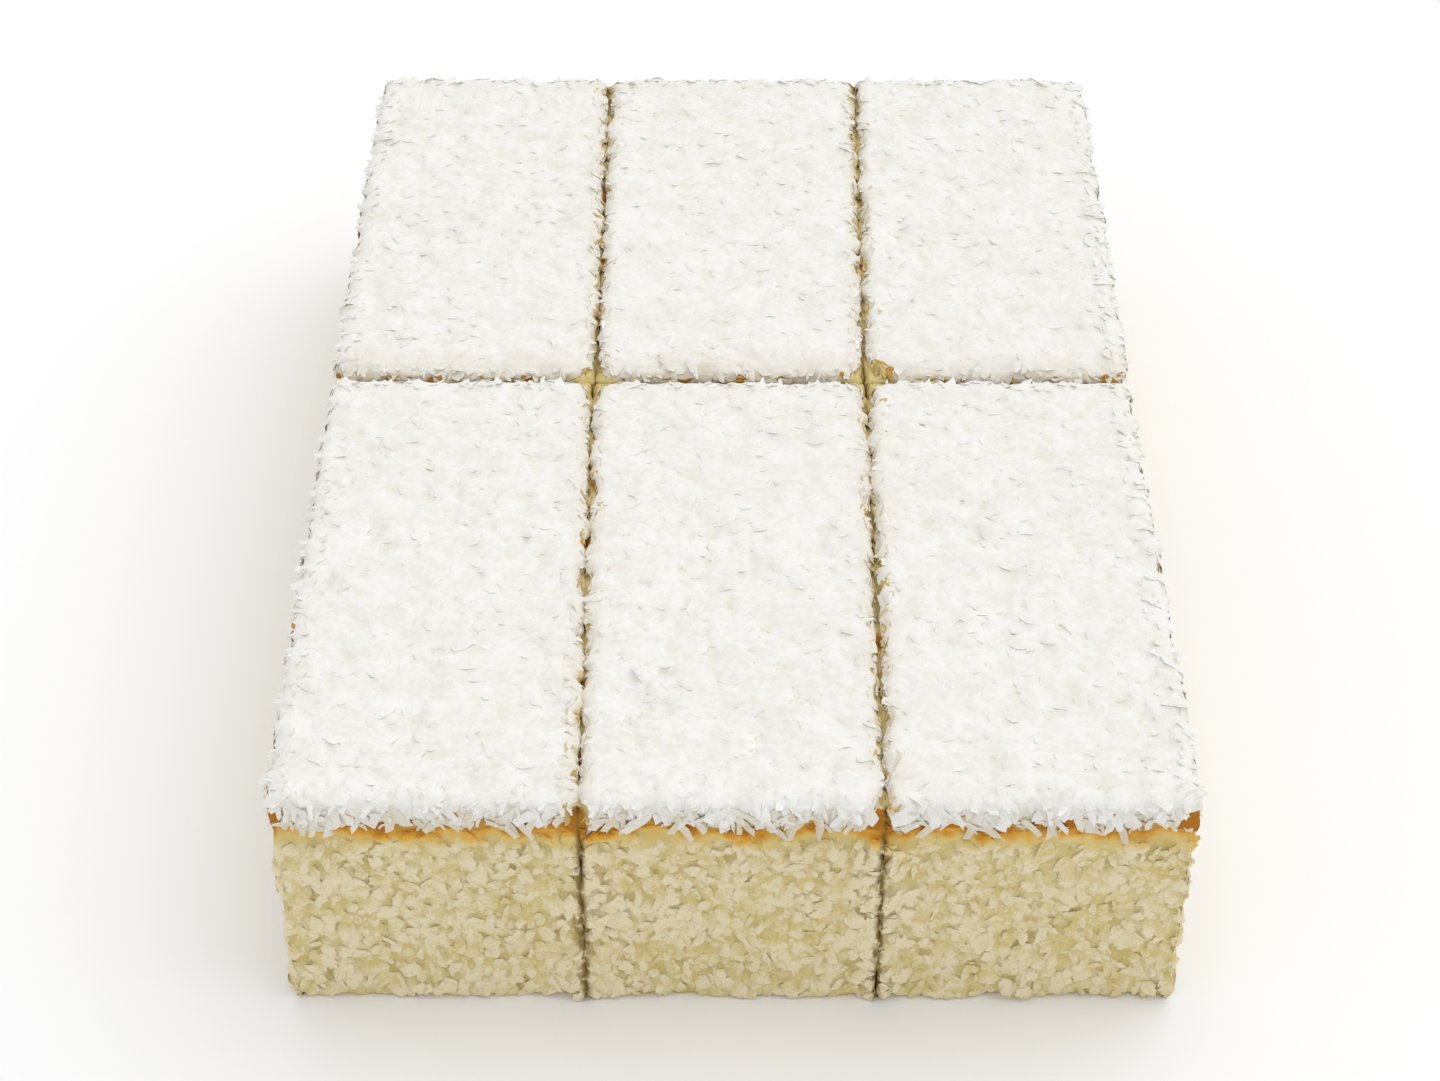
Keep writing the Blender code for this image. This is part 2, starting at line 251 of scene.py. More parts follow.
def lay(bed, ground, forms, things, reach, settings):
    # Drapes things over the bed and over each other in the order given, a few at a time, and
    # returns each thing's vertices and how far they stand off the bed. A thing bends down only as
    # far as it is limp, rests on the highest of what is under it, rolls towards its lower side, and
    # settles a little.
    steps, cell, settle = (settings[key] for key in ("steps", "cell", "settle"))
    low = np.array([-4.0, -4.0, things["place"][:, 2].min() - 9])  # the heap's map, with a margin
    high = np.array([bed.width + 4, bed.length + 4, min(bed.top, things["place"][:, 2].max() + 9) + 1])
    shape = np.ceil((high - low) / cell).astype(int)
    heap = np.full(shape, -np.inf)
    across = np.array([-0.8, 0.0, 0.8])
    stations = np.linspace(-1, 1, 2 * steps + 1)
    vertices, lifts = [], []
    for first in range(0, len(things["half"]), settings["batch"]):
        some = {key: value[first:first + settings["batch"]] for key, value in things.items()}
        place, up, ahead = trace(bed, some, steps)
        half, width, thick = (some[key][:, None] for key in ("half", "width", "thick"))
        side = np.cross(up, ahead)
        probes = place[:, :, None] + side[:, :, None] * (across * width)[:, None, :, None] / 2
        under, _ = bed.project(probes)
        index = tuple(np.clip(((under - low) / cell).astype(int), 0, shape - 1).transpose(3, 0, 1, 2))
        height = np.maximum(ground(under), heap[index])
        spread = (stations[:, None] - stations) ** 2 * (half ** 2)[:, :, None]
        rails = [(height[:, None, :, k] - settings["limp"] * spread).max(axis=2) for k in range(3)]
        steepest = settings["roll"] * width
        roll = np.clip(rails[2] - rails[0], -steepest, steepest)
        rest = np.maximum(rails[1], np.maximum(rails[0], rails[2]) - np.abs(roll) / 2)
        curl = np.where(stations < 0, some["curl"][:, :1], some["curl"][:, 1:]) * stations ** 2
        flex = some["flex"][:, None, None]
        straight = place[:, steps:steps + 1] + ahead[:, steps:steps + 1] * (stations * half)[..., None]
        stood = straight * (1 - flex) + place * flex
        lifted = np.linalg.norm(stood - place, axis=-1)
        top = rest[..., None] + roll[..., None] * across / 2 + (thick * settle)[..., None]
        top = np.where(lifted[..., None] < 0.4, top, -np.inf)  # nothing rests on what stands free
        np.maximum.at(heap, index, top)
        up = unit(up[:, steps:steps + 1] * (1 - flex) + up * flex)
        side = unit(np.cross(up, ahead))
        lean = (roll / width + some["lean"][:, None])[..., None]
        broad = unit(side + up * lean)
        tall = unit(up - side * lean)
        centre = stood + up * (rest + curl + thick * settle / 2)[..., None]
        # each vertex of the form lies between two stations
        form = forms[some["form"]]
        along = np.clip((form[..., 0] + 1) * steps, 0, 2 * steps - 1e-6)
        before = along.astype(int)
        between = (along - before)[..., None]
        each = np.arange(len(form))[:, None]

        def at(part):
            return part[each, before] * (1 - between) + part[each, before + 1] * between

        points = at(centre) + at(broad) * form[..., 1:2] * width[..., None] / 2
        points += at(tall) * form[..., 2:3] * thick[..., None] / 2
        points = bed.holdBack(points, reach)
        foot, out = bed.project(points)
        lifts.append(((points - foot) * out).sum(axis=-1))
        vertices.append(bed.warp(points))
    return np.concatenate(vertices), np.concatenate(lifts)


def addPiece(name, mesh, finish, values, smooth):
    # makes the mesh an object, with a number for every vertex under each name in values
    for key, numbers in values.items():
        attribute = mesh.attributes.new(key, "FLOAT", "POINT")
        attribute.data.foreach_set("value", numbers.astype(np.float32).ravel())
    mesh.polygons.foreach_set("use_smooth", np.full(len(mesh.polygons), smooth))
    mesh.materials.append(finish)
    piece = bpy.data.objects.new(name, mesh)
    bpy.context.scene.collection.objects.link(piece)
    return piece


def joinCopies(name, vertices, faces, finish, values):
    # one mesh from many copies of one form's faces, each with vertices of its own
    copies, perCopy = vertices.shape[:2]
    corners = np.concatenate([np.array(face) for face in faces])
    sizes = np.array([len(face) for face in faces])
    every = (corners[None, :] + np.arange(copies)[:, None] * perCopy).ravel()
    mesh = bpy.data.meshes.new(name)
    mesh.vertices.add(copies * perCopy)
    mesh.vertices.foreach_set("co", (vertices * mm).astype(np.float32).ravel())
    mesh.loops.add(len(every))
    mesh.loops.foreach_set("vertex_index", every.astype(np.int32))
    starts = np.concatenate([[0], np.cumsum(np.tile(sizes, copies))[:-1]])
    mesh.polygons.add(len(starts))
    mesh.polygons.foreach_set("loop_start", starts.astype(np.int32))
    mesh.update(calc_edges=True)
    return addPiece(name, mesh, finish, values, False)


def skyline(vertices, faces, places, normals, ground, above=4.0):
    # how high over each place the pile of copies reaches; the ground's height where there is none
    copies, perCopy = vertices.shape[:2]
    polygons = [[corner + copy * perCopy for corner in face] for copy in range(copies) for face in faces]
    tree = BVHTree.FromPolygons(vertices.reshape(-1, 3).tolist(), polygons)
    heights = ground.copy()
    starts = places + normals * above
    for index, (start, down) in enumerate(zip(starts.tolist(), (-normals).tolist())):
        distance = tree.ray_cast(start, down, above * 1.5)[3]
        if distance is not None:
            heights[index] = max(above - distance, heights[index])
    return heights


def evened(heights, bm, rounds):
    # each vertex's height is drawn to its neighbours' mean, again and again
    count = len(heights)
    ends, starts = np.array([[vertex.index for vertex in edge.verts] for edge in bm.edges]).T
    neighbours = np.bincount(ends, minlength=count) + np.bincount(starts, minlength=count)
    for _ in range(rounds):
        total = np.bincount(ends, heights[starts], count) + np.bincount(starts, heights[ends], count)
        heights = (heights + total / neighbours) / 2
    return heights


def pieceFrom(name, bm, places, finish, values):
    # puts the vertices in their places and makes the piece
    for vertex, place in zip(bm.verts, (places * mm).tolist()):
        vertex.co = place
    mesh = bpy.data.meshes.new(name)
    bm.to_mesh(mesh)
    bm.free()
    return addPiece(name, mesh, finish, values, True)


class Wire:
    # a node's output that Python's own operators can reckon with
    def __init__(self, finish, socket):
        self.finish, self.socket = finish, socket

    def clamped(self, low, high):
        # 0 at low, 1 at high, eased between
        return self.finish.add(
            "ShaderNodeMapRange", {"interpolation_type": "SMOOTHSTEP"},
            {"Value": self, "From Min": low, "From Max": high},
        )


def operator(operation, reflected):
    def reckon(wire, other):
        first, second = (other, wire) if reflected else (wire, other)
        return wire.finish.add("ShaderNodeMath", {"operation": operation}, {0: first, 1: second})
    return reckon


for sign, operation in {"add": "ADD", "sub": "SUBTRACT", "mul": "MULTIPLY", "truediv": "DIVIDE"}.items():
    setattr(Wire, f"__{sign}__", operator(operation, False))
    setattr(Wire, f"__r{sign}__", operator(operation, True))


class Finish:
    def __init__(self, name, roughness, **constants):
        self.material = bpy.data.materials.new(name)
        self.material.use_nodes = True
        self.tree = self.material.node_tree
        self.shader = self.tree.nodes["Principled BSDF"]
        self.shader.inputs["Roughness"].default_value = roughness
        for socket, value in constants.items():
            self.shader.inputs[socket.replace("_", " ")].default_value = value
        self.places = self.add("ShaderNodeTexCoord", {}, {}, "Object")

    def add(self, kind, settings, inputs, output=0):
        node = self.tree.nodes.new(kind)
        for name, value in settings.items():
            setattr(node, name, value)
        for name, value in inputs.items():
            if isinstance(value, Wire):
                self.tree.links.new(value.socket, node.inputs[name])
            else:
                node.inputs[name].default_value = value
        return Wire(self, node.outputs[output])

    def noise(self, size, detail=2.0):
        # values from 0 to 1 in lumps of that many millimetres
        settings = {"Vector": self.places, "Scale": 1 / (size * mm), "Detail": detail}
        return self.add("ShaderNodeTexNoise", {}, settings)

    def mix(self, amount, first, second):
        colours = {0: amount}
        for key, colour in ((6, first), (7, second)):
            colours[key] = colour if isinstance(colour, Wire) else (*colour, 1)
        return self.add("ShaderNodeMix", {"data_type": "RGBA"}, colours, 2)

    def coats(self, colour, *coats):
        # lays one colour after another over the first, each by its own amount
        for amount, coat in coats:
            colour = self.mix(amount, colour, coat)
        return colour

    def attribute(self, name):
        return self.add("ShaderNodeAttribute", {"attribute_name": name}, {}, "Fac")

    def height(self):
        # millimetres above the floor
        return self.add("ShaderNodeSeparateXYZ", {}, {0: self.places}, "Z") / mm

    def paint(self, colour, bump, strength, depth):
        self.tree.links.new(colour.socket, self.shader.inputs["Base Color"])
        bump = {"Strength": strength, "Distance": depth * mm, "Height": bump}
        normal = self.add("ShaderNodeBump", {}, bump)
        self.tree.links.new(normal.socket, self.shader.inputs["Normal"])
        return self.material


coconut = {
    "white": (0.872, 0.862, 0.835),
    "cream": (0.785, 0.762, 0.695),
    # painted shade for the hollows between shreds, mixed in where they lie low
    "hollow": (0.765, 0.725, 0.58),
    "stain": (0.57, 0.43, 0.16),  # crumb dragged over the cut sides, and painted shade down the cuts and along the lower edge
    "crust": (0.53, 0.28, 0.045),  # and what shows where it has come away
    "crumb": (0.74, 0.59, 0.28),
    "shade": (0.50, 0.37, 0.13),
    "patches": 6.0,  # how wide the creamier patches are
}


def coconutFinish(name, roughness, grainSize):
    finish = Finish(name, roughness, Specular_IOR_Level=0.3)
    patches = finish.noise(coconut["patches"], 3)
    grain = finish.noise(grainSize, 3)
    tone = finish.attribute("tone") * 0.8 + patches * 1.15 + (grain - 0.5) * 1.3
    bare = finish.attribute("bare")  # from 0.3 the crust shows, and from 0.9 the crumb
    colour = finish.coats(
        coconut["white"],
        (tone.clamped(0.6, 1.5), coconut["cream"]),
        # painted shade: where a shred or the icing lies low it takes the hollow colour
        (finish.attribute("lift").clamped(0.35, -0.25), coconut["hollow"]),
        # crumb stain and painted shade beside and down the cuts and along the lower edge
        (finish.attribute("stain"), coconut["stain"]),
        (bare.clamped(0.3, 0.45), coconut["crust"]),
        (bare.clamped(0.9, 1.1),
         finish.mix((grain + patches).clamped(0.95, 1.2), coconut["crumb"], coconut["shade"])),
    )
    return finish.paint(colour, grain, 0.25, 0.1)


crumbLook = {
    "pale": (0.80, 0.705, 0.475),
    "yellow": (0.68, 0.565, 0.245),
    "cross": (0.72, 0.565, 0.26),  # where the cuts cross
    # also painted as shade in the crumb's deepest hollows and down the cuts between columns
    "deep": (0.60, 0.48, 0.16),
    # painted shade in the crack where two slices meet
    "jointShade": (0.25, 0.165, 0.035),
    "pore": (0.50, 0.40, 0.19),
    "speck": (0.86, 0.79, 0.61),
    "straw": (0.74, 0.57, 0.21),
    "golden": (0.77, 0.405, 0.058),
    "brown": (0.44, 0.17, 0.013),
    # the heights in mm between which each deeper colour of the crust sets in
    "crust": (("straw", 38.2, 40.6), ("golden", 40.2, 41.8), ("brown", 41.3, 43.7)),
    # how far these heights wander up and down, over what distance and in what detail
    "ragged": ((4.5, 2.6, 3), (6.0, 9.0, 2)),
}


def browned(finish):
    # the crust's colours; the knife has smeared crumb over it in the cuts, but not everywhere
    height = finish.height()
    for much, size, detail in crumbLook["ragged"]:
        height = height + (finish.noise(size, detail) - 0.5) * much
    clean = (finish.attribute("smear") - finish.noise(7.0)).clamped(0.5, 0.38)
    return [(height.clamped(low, high) * clean, crumbLook[name]) for name, low, high in crumbLook["crust"]]


def crumbFinish(name, grainSize):
    # pale where the crumb stands out, deeper yellow in its hollows: partly its own colour, partly painted
    # shade
    finish = Finish(name, 0.85, Specular_IOR_Level=0.12)
    reliefToneAndShade = finish.attribute("lift") + finish.attribute("tone") * 0.9 + (finish.noise(2.2, 4) - 0.5) * 2.4
    smear = finish.attribute("smear")  # about 1 in the cuts between columns, more where cuts cross; it also sets painted shade there
    fine = finish.noise(0.6, 3)
    colour = finish.coats(
        crumbLook["yellow"],
        (reliefToneAndShade.clamped(-0.7, 0.7), crumbLook["pale"]),
        # painted shade: the deepest hollows are darker
        (reliefToneAndShade.clamped(-0.6, -1.9), crumbLook["deep"]),
        # painted shade: the crumb is darker down the cuts between columns
        (smear.clamped(0.85, 1.05) * 0.6, crumbLook["deep"]),
        (smear.clamped(1.1, 1.5) * 0.8,
         finish.mix(finish.noise(1.2, 3).clamped(0.42, 0.62), crumbLook["cross"], crumbLook["deep"])),
        (fine.clamped(0.44, 0.3) * 0.45, crumbLook["pore"]),
        (fine.clamped(0.57, 0.7) * 0.5, crumbLook["speck"]),
        *browned(finish),
        # painted shade darkens the crack where two slices meet
        (finish.attribute("jointShade") * finish.noise(1.5, 3).clamped(0.3, 0.5) * 0.9, crumbLook["jointShade"]),
    )
    return finish.paint(colour, finish.noise(grainSize, 4), 0.6, 0.2)


# how wide each kind of bit is at its root, along its sides and at its tip, and how it is bent
bits = {
    "kinds": {
        "strip": {"root": (0.4, 0.8), "side": (0.8, 1.1), "tip": (0.5, 0.85), "wave": 0.3, "cup": 0.3},
        "point": {"root": (0.6, 1.0), "side": (0.7, 1.1), "tip": (0.05, 0.25), "wave": 0.4, "cup": 0.5},
        "petal": {"root": (0.3, 0.8), "side": (0.6, 1.15), "tip": (0.15, 0.6), "wave": 0.5, "cup": 0.8},
    },
    "each": 12,  # shapes of every kind
    "segments": 5,
    "slant": 0.3,
    "twist": 0.35,
    "ridge": 0.35,  # how far the middle line wanders
    "seed": 21,
}


def shapeBit(look, draw):
    # a flat bit from -1 to 1 each way, ragged at its sides and sharp at its edges
    bm = bmesh.new()
    bmesh.ops.create_cone(bm, cap_ends=True, segments=4, radius1=1, radius2=1, depth=2,
                          matrix=Matrix.Rotation(math.pi / 2, 4, "Y"))
    long = [e for e in bm.edges if abs(e.verts[0].co.x - e.verts[1].co.x) > 1]
    bmesh.ops.subdivide_edges(bm, edges=long, cuts=bits["segments"] - 1)
    widths = draw.uniform(*look["side"], (2, bits["segments"] + 1))
    widths[:, 0] = draw.uniform(*look["root"], 2)
    widths[:, -1] = draw.uniform(*look["tip"], 2)
    widths[:, -2] = (widths[:, -2] + widths[:, -1]) / 2
    slant = draw.uniform(-1, 1, 2) * bits["slant"]
    twist = draw.uniform(-1, 1) * bits["twist"]
    wave, cup = draw.uniform(-1, 1, 2) * (look["wave"], look["cup"])
    ridge = draw.uniform(-1, 1, bits["segments"] + 1) * bits["ridge"] * widths.mean(axis=0)
    for vertex in bm.verts:
        t, edge, face = vertex.co
        station = round((t + 1) / 2 * bits["segments"])
        broad = edge * widths[int(edge > 0), station] + wave * (1 - t * t) / 2
        if abs(face) > 0.5:
            broad += ridge[station]
        if abs(t) > 0.9:
            lean = slant[int(t > 0)]
            t += lean * edge / 2 - abs(lean) * np.sign(t) / 2
        thick = face * (1 - 0.6 * t * t)  # it thins towards both ends
        vertex.co = (t, broad, thick + cup * (t * t - 0.5) + twist * t * broad)
    return bm


def shapeBits():
    # every shape's vertices in one array, kind after kind, and the faces, which all share
    draw = np.random.default_rng(bits["seed"])
    shapes = []
    for look in bits["kinds"].values():
        for _ in range(bits["each"]):
            bm = shapeBit(look, draw)
            bmesh.ops.recalc_face_normals(bm, faces=bm.faces)
            shapes.append([vertex.co[:] for vertex in bm.verts])
            faces = [[vertex.index for vertex in face.verts] for face in bm.faces]
            bm.free()
    return np.array(shapes), faces


def drawForms(draw, count, shares):
    # the kind and the shape of each thing, given the share of every kind
    kinds = draw.choice(len(bits["kinds"]), count, p=shares)
    return kinds, kinds * bits["each"] + draw.integers(0, bits["each"], count)


sponge = {
    "corner": 0.6,
    "step": {"open": 0.56, "columnGap": 1.0, "rowGap": 0.8},  # spacing of the wall's vertices
    "levels": 0.6,
    # the lumps in the torn crumb, as sizes and seeds, and the clods that follow them
    "lumps": ((6.5, 1), (2.6, 2), (1.3, 7)),
    "clods": (3.0, 3),
    "torn": (0.75, (0.7, 0.5, 0.35, 1.1)),  # mean depth, and how much of it each of these makes
    "firm": (0.1, (0.3, 0.25, 0.3)),  # and in the crust
    "depth": (-0.2, 2.4),
    "foot": (0.5, 1.2),  # the bottom edge is worn back by this, up to this height
    "crustZone": (3.5, 5.0),  # the firmer crust ends between these depths
    # the cut sides between columns lean on each other: by how much, how unevenly, in what lumps, and
    # how far in from the cut and from its ends
    "bulge": (1.7, 0.6, 7.0),
    "bulgeReach": (2.5, 0.4),
    "closed": 0.6,  # and by no less than this
    "parting": (5.0, 0.3),  # but from so far off where the cuts cross down to this part of it
    # how far the corners bulge there on each side, how far along it and how deep
    "crossing": {"columnGap": 0.3, "rowGap": 1.5},
    "crossingReach": (1.6, 5.6),
    "crossingDepth": (1.2, 0.1),
    # how far the top edge has crumbled, how unevenly, in what lumps and how far down
    "crumbled": {"open": (0.2, 0.2), "columnGap": (1.0, 1.1), "rowGap": (0.3, 0.4)},
    "crumbledLumps": 2.4,
    "crumbledDown": 4.0,
    "smear": (1.08, 9.0),  # crumb over the crust and painted shade in the cuts between columns, and how far in
    "smearCrossing": (1.6, 4.05, 8.55),  # and where the cuts cross, fading between two distances
    "jointShade": ((0.1, 0.3), (0.8, 2.4)),  # how far beside and behind a joint the crumb is painted dark, as shade in the crack
    "ledge": 0.4,
    "blur": 2,
}


def smearedAndShaded(bed, sight, places):
    # crumb hides most of the crust in the cuts between columns, and all of it where cuts cross; the same
    # mask paints shade there
    much, inwards = sponge["smear"]
    smear = much * sideways(bed, places, sight, "columnGap", inwards, 1.0)
    much, near, far = sponge["smearCrossing"]
    for away in crossingsFrom(bed, sight, places):
        smear = np.maximum(smear, much * fading(away, near, far))
    return smear


def jointShading(bed, sight, places, past=0.0):
    # 1 where two slices of a row meet on an open side, where shade in the crack is painted, and 0 a little
    # way from there
    jointShade, face = np.zeros((2, *places.shape[:-1]))
    beside, behind = sponge["jointShade"]
    for side, away in zip(sides, sideDistances(bed, places)):
        if sight[side] == "columnGap":
            jointShade = np.maximum(jointShade, fading(away + past, *beside))
        elif sight[side] == "open" and side in ("near", "far"):
            face = np.maximum(face, fading(np.abs(away), *behind))
    return jointShade * face


def tornDepth(bed, sight, surface):
    # how deep the torn crumb lies behind the cut, in mm
    points = bed.warp(surface)
    layers = [noiseAt(points, size, seed) for size, seed in sponge["lumps"]]
    firm = blended(*sponge["firm"], layers)
    torn = blended(*sponge["torn"], [*layers, clodsAt(points, *sponge["clods"]) - 0.45])
    crust = fading(cake["spongeTop"] - points[..., 2], *sponge["crustZone"])
    foot, high = sponge["foot"]
    worn = foot * fading(points[..., 2], 0, high)
    steady, uneven, size = sponge["bulge"]
    leaning = sideways(bed, surface, sight, "columnGap", *sponge["bulgeReach"])
    bulge = (steady + uneven * noiseAt(points, size, 9)) * leaning
    crossings = crossingsFrom(bed, sight, surface)
    far, least = sponge["parting"]
    for away in crossings:
        share = np.clip(away / far, least, 1)
        leaning, bulge = leaning * share, bulge * share
    for what, much in sponge["crossing"].items():
        side = sideways(bed, surface, sight, what, *sponge["crossingDepth"])
        for away in crossings:
            bulge = np.maximum(bulge, much * fading(away, *sponge["crossingReach"]) * side)
    depth = np.clip(torn * (1 - crust) + firm * crust, *sponge["depth"]) + worn - bulge
    return np.where(leaning > 0.8, np.minimum(depth, -sponge["closed"]), depth)


def spongeBlock(bed, sight):
    # a block with rounded corners upright, finely divided all round, and a ledge inside its top edge
    radius = sponge["corner"]
    bm = bmesh.new()
    bmesh.ops.create_grid(bm, x_segments=1, y_segments=1, size=0.5)
    for vertex in bm.verts:
        vertex.co.x = (vertex.co.x + 0.5) * bed.width
        vertex.co.y = (vertex.co.y + 0.5) * bed.length
    bmesh.ops.bevel(bm, geom=bm.verts[:], affect="VERTICES", offset=radius, segments=3, profile=0.5,
                    material=-1)
    for edge in [e for e in bm.edges if e.calc_length() > radius]:
        middle = sum((vertex.co for vertex in edge.verts), Vector()) / 2
        step = sponge["step"][sightAt(bed, np.array([middle]), sight)[0]]
        bmesh.ops.subdivide_edges(bm, edges=[edge], cuts=round(edge.calc_length() / step) - 1)
    grown = bmesh.ops.extrude_face_region(bm, geom=bm.faces[:])["geom"]
    raised = [item for item in grown if isinstance(item, bmesh.types.BMVert)]
    bmesh.ops.translate(bm, verts=raised, vec=(0, 0, cake["spongeTop"]))
    upright = [e for e in bm.edges if abs(e.verts[0].co.z - e.verts[1].co.z) > 1]
    bmesh.ops.subdivide_edges(bm, edges=upright, cuts=round(cake["spongeTop"] / sponge["levels"]) - 1)
    roof = [face for face in bm.faces if face.calc_center_median().z > cake["spongeTop"] - 0.01]
    bmesh.ops.inset_region(bm, faces=roof, thickness=sponge["ledge"])
    bmesh.ops.recalc_face_normals(bm, faces=bm.faces)
    return bm


def makeSponge(name, bed, sight, pile, faces, finish):
    bm = spongeBlock(bed, sight)
    points = np.array([vertex.co[:] for vertex in bm.verts])
    wall, normals = bed.project(points)
    span = np.array([bed.width, bed.length])
    inside = (span / 2 - np.abs(points[:, :2] - span / 2)).min(axis=1) > sponge["ledge"] / 2
    inside &= points[:, 2] > cake["spongeTop"] - 0.01
    wall[inside] = points[inside]
    normals[inside] = 0, 0, 1
    lift = -tornDepth(bed, sight, wall)
    top = skyline(pile, faces, bed.warp(wall), normals, lift)
    lift = np.maximum(lift, evened(top, bm, sponge["blur"]))
    places = bed.warp(wall + normals * lift[:, None])
    steady, uneven = np.array([sponge["crumbled"][what] for what in sightAt(bed, wall, sight)]).T
    crumbled = steady + uneven * noiseAt(bed.warp(wall), sponge["crumbledLumps"], 13)
    crumbled = crumbled * fading(cake["spongeTop"] - points[:, 2], 0, sponge["crumbledDown"])
    places[:, 2] = points[:, 2] - np.where(inside, 0, crumbled)
    values = {"lift": lift, "tone": np.full(len(lift), 0.3), "smear": smearedAndShaded(bed, sight, wall),
              "jointShade": jointShading(bed, sight, wall)}
    return pieceFrom(name, bm, places, finish, values)


topping = {
    "top": 49.3,  # the finished mat's mean height above the floor
    "base": 45.4,  # and its lower edge's
    "bedDepth": 0.4,  # the shreds fill this much at the top and the sides
    "overhang": {"open": 0.45, "columnGap": 0.7, "rowGap": 0.0},
    "radius": {"open": 2.4, "columnGap": 1.7, "rowGap": 2.2},
    "slump": {"radius": 6.5, "overhang": 1.1},  # at the back row's near rim
    "drop": 2.4,  # how far down the rounding of the rim reaches
    "lumps": ((0.6, 7.0), (0.4, 3.4)),  # how high and how wide they are
    "dimples": (0.16, 2.2),
    "step": 0.49,
    "rimCuts": 12,
    "hem": 1.3,  # the icing reaches this many times as far down as its base
    "hemLumps": (0.25, 1.8),
    "hollow": 0.8,  # how far its underside lies above the base
    "blur": 2,  # how evenly the icing covers the shreds
    "fill": (0.10, -0.3),  # and how far it covers them on top and round the side
    "ragged": ((2.4, 4.2), (1.4, 1.7)),  # the lower edge's ups and downs
    "highest": 46.9,  # it always covers the sponge's top
    "higher": {"columnGap": 0.0, "rowGap": 1.0},  # and is raised in the cuts
    "nibbled": (0.5, 0.2, 0.6),  # at a corner with no cut, one cut or two
    "nibbleWidth": 6.0,
    "worn": 0.6,  # how much lower it gets for each mm that is gone
    # how far from a corner where cuts cross the crumb shows, and how far it lies below
    "bare": {("back_left", "right"): 1.5, ("back_middle", "left"): 1.7, ("back_right", "left"): 5.2},
    "bareUsual": 1.1,
    "bareDepth": 1.5,
    "bareEdge": (1.6, 2.4, 1.4),  # how ragged its edge is, in what lumps, and how softly it ends
    # so many smaller spots along the back row's near rim, their sizes, and each column's seed
    "spots": (4, 0.5, 1.35),
    "spotSeeds": (9, 11, 10),
    # how far it stands back from the cuts between columns: the most, and what it varies about,
    # how much and over what length, how far it closes over the cut, and how far in this is felt
    "parted": {"most": 0.78, "mean": 0.3, "waves": ((1.5, 5.0), (1.0, 2.2)), "closed": -0.6, "width": 2.6},
    "dragged": (3.0, 0.8),  # how far in from a cut and its ends crumb has been dragged over it, with painted shade
    # Beside a cut, crumb stain and painted shade: from how near it sets in, how much, and how faintly
    # further off. Inside it, mostly painted shade: how much, how far in, from how far below the top, how
    # raggedly and how softly.
    "cutCrumbAndShade": {
        "columnGap": (0.86, 0.7, 0.22, 1.0, 1.6, 0.9, 0.5, 0.5),
        "rowGap": (0.85, 0.35, 0.2, 0.5, 1.2, 2.3, 1.0, 0.6),
    },
    "crumbAndShadePatches": 3.0,
    "hemCrumbAndShade": (0.42, 1.5, 2.5),  # painted shade and stain along the lower edge: how much, how high up, and how softly
    # the icing's own soil: in what patches, how high over the base, how far below the top in the
    # cuts, each with how raggedly and how much at most, and how softly
    "soil": (2.0, (1.3, 2.2, 0.7), (1.0, 0.8, 2), 0.4),
}


def nibble(bed, sight, where, column):
    # the topping has come away at the corners, most where two cuts cross
    for corner, inwards, cuts in cornersOf(bed, sight):
        depth = topping["nibbled"][cuts]
        bed.nibbles.append((corner, inwards, depth, topping["nibbleWidth"] + depth))
        if cuts == 2:
            place = (where, "right" if corner[0] else "left")
            bed.bare.append((corner, topping["bare"].get(place, topping["bareUsual"]), 2))
    if sight["near"] == "rowGap":
        count, least, most = topping["spots"]
        draw = np.random.default_rng(topping["spotSeeds"][column])
        for index in range(count):
            x = bed.width * (index + draw.random()) / count
            bed.bare.append((np.array([x, 0.0]), draw.uniform(least, most), 0.8))


def part(bed, sight, column):
    # it closes over the cut between two columns in some places and leaves it open in others
    look = topping["parted"]
    places = np.arange(-cake["length"] / 2 - 4, cake["length"] / 2 + 4, 0.2)
    for side, edge, inwards, gap in (("left", 0, 1, column), ("right", bed.width, -1, column + 1)):
        if sight[side] == "columnGap":
            line = np.column_stack([places * 0 + 37 * gap, places, places * 0])
            seeds = (14, 15 + inwards)  # the slower wave is the same on both sides of the cut
            waves = [noiseAt(line, size, seed) for (much, size), seed in zip(look["waves"], seeds)]
            openness = blended(look["mean"], [much for much, size in look["waves"]], waves)
            bed.parted.append((edge, inwards, places, look["most"] * np.clip(openness, look["closed"], 1)))


def soiled(bed, sight, points):
    # the icing carries crust along its lower edge and crumb deep in the cuts between columns
    size, (high, hemRagged, hemMost), (below, deepRagged, deepMost), soft = topping["soil"]
    patchy = noiseAt(points, size, 19)
    hem = np.clip((topping["base"] + high + hemRagged * patchy - points[..., 2]) / soft, 0, hemMost)
    deep = np.clip((bed.top - below + deepRagged * patchy - points[..., 2]) / soft, 0, deepMost)
    return np.maximum(hem, deep * (sideways(bed, points, sight, "columnGap", 1.6, 0.5) > 0))


def bared(bed, points):
    # 1 where the crust shows at a bare place and 2 where the crumb does
    bare = np.zeros(points.shape[:-1])
    ragged, lump, soft = topping["bareEdge"]
    for place, size, most in bed.bare:
        away = distanceTo(place, points)
        near = away < size + 2
        if near.any():
            away[near] += ragged * noiseAt(points[near], lump, 18)
            bare = np.maximum(bare, np.where(near, np.clip((size - away) / soft, 0, most), 0))
    return bare


def lumps(bed, points):
    # the topping's own ups and downs, lower at the nibbled corners
    height = sum(much * noiseAt(bed.warp(points), size, 4) for much, size in topping["lumps"])
    for corner, inwards, depth, width in bed.nibbles:
        height = height - topping["worn"] * depth * fading(distanceTo(corner, points), 0, width)
    return height - topping["bareDepth"] / 2 * bared(bed, points)


